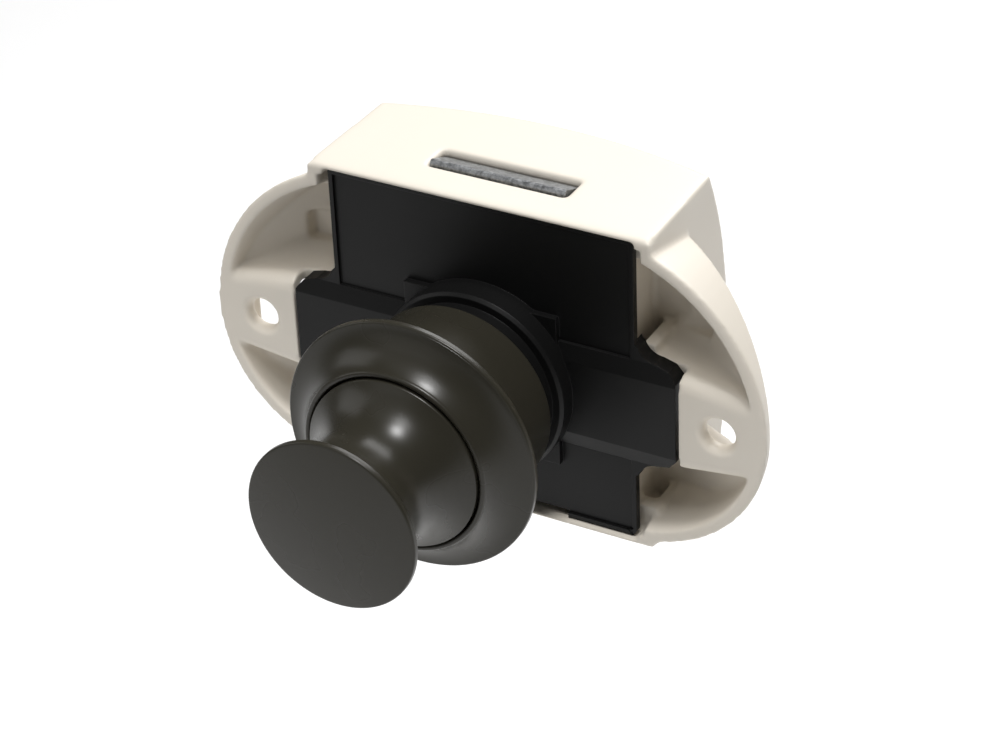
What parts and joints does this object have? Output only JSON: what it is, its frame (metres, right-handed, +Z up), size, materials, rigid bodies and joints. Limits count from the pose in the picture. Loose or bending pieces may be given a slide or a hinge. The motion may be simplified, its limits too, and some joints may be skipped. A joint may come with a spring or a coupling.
{
  "type": "push-button furniture lock",
  "caption": "Push-button furniture lock with a lobed housing, black carrier plate, rosette and pop-out mushroom knob that drives a bevelled spring bolt.",
  "frame": {"origin": "on the button axis, in the plane of the mounting face, midway between the two screw holes", "axes": "+Y along the button axis into the cabinet, the way the knob is pushed; +Z up, the way the bolt moves out; +X to the right as seen from the knob"},
  "size_m": [0.0782, 0.0639, 0.0443],
  "materials": {
    "cream_plastic": "smooth moulded, cream white",
    "black_plastic": "satin moulded, black",
    "grey_plastic": "semi-gloss moulded, anthracite",
    "white_plastic": "plain moulded, off-white",
    "spring_steel": "drawn wire, bright",
    "cast_zinc": "cast zinc, fine grained"
  },
  "bodies": {
    "case": {"housing": "cream_plastic", "carrier_plate": "black_plastic", "rosette": "grey_plastic", "return_spring": "spring_steel", "bolt_spring_left": "spring_steel", "bolt_spring_right": "spring_steel", "keeper_leaf": "spring_steel"},
    "button": {"knob": "grey_plastic", "stem": "white_plastic"},
    "bolt": {"latch_bolt": "cast_zinc"},
    "catch": {"catch_wire": "spring_steel"}
  },
  "joints": [
    {"name": "button_slide", "type": "slide", "parent": "case", "child": "button", "axis": [0, 1, 0], "range_m": [0, 0.0125], "stiffness_N_per_m": 300, "springref_m": -0.008, "deforming": ["return_spring"]},
    {"name": "bolt_slide", "type": "slide", "parent": "case", "child": "bolt", "axis": [0, 0, 1], "range_m": [0, 0.008], "stiffness_N_per_m": 60, "springref_m": 0.012, "deforming": ["bolt_spring_left", "bolt_spring_right"]},
    {"name": "catch_swing", "type": "hinge", "parent": "case", "child": "catch", "pos_m": [0, 0.019, -0.0082], "axis": [0, 0, 1], "range_deg": [0, 22.5]}
  ],
  "couplings": [
    {"joint": "bolt_slide", "follows": "button_slide", "ratio": 0.64}
  ]
}
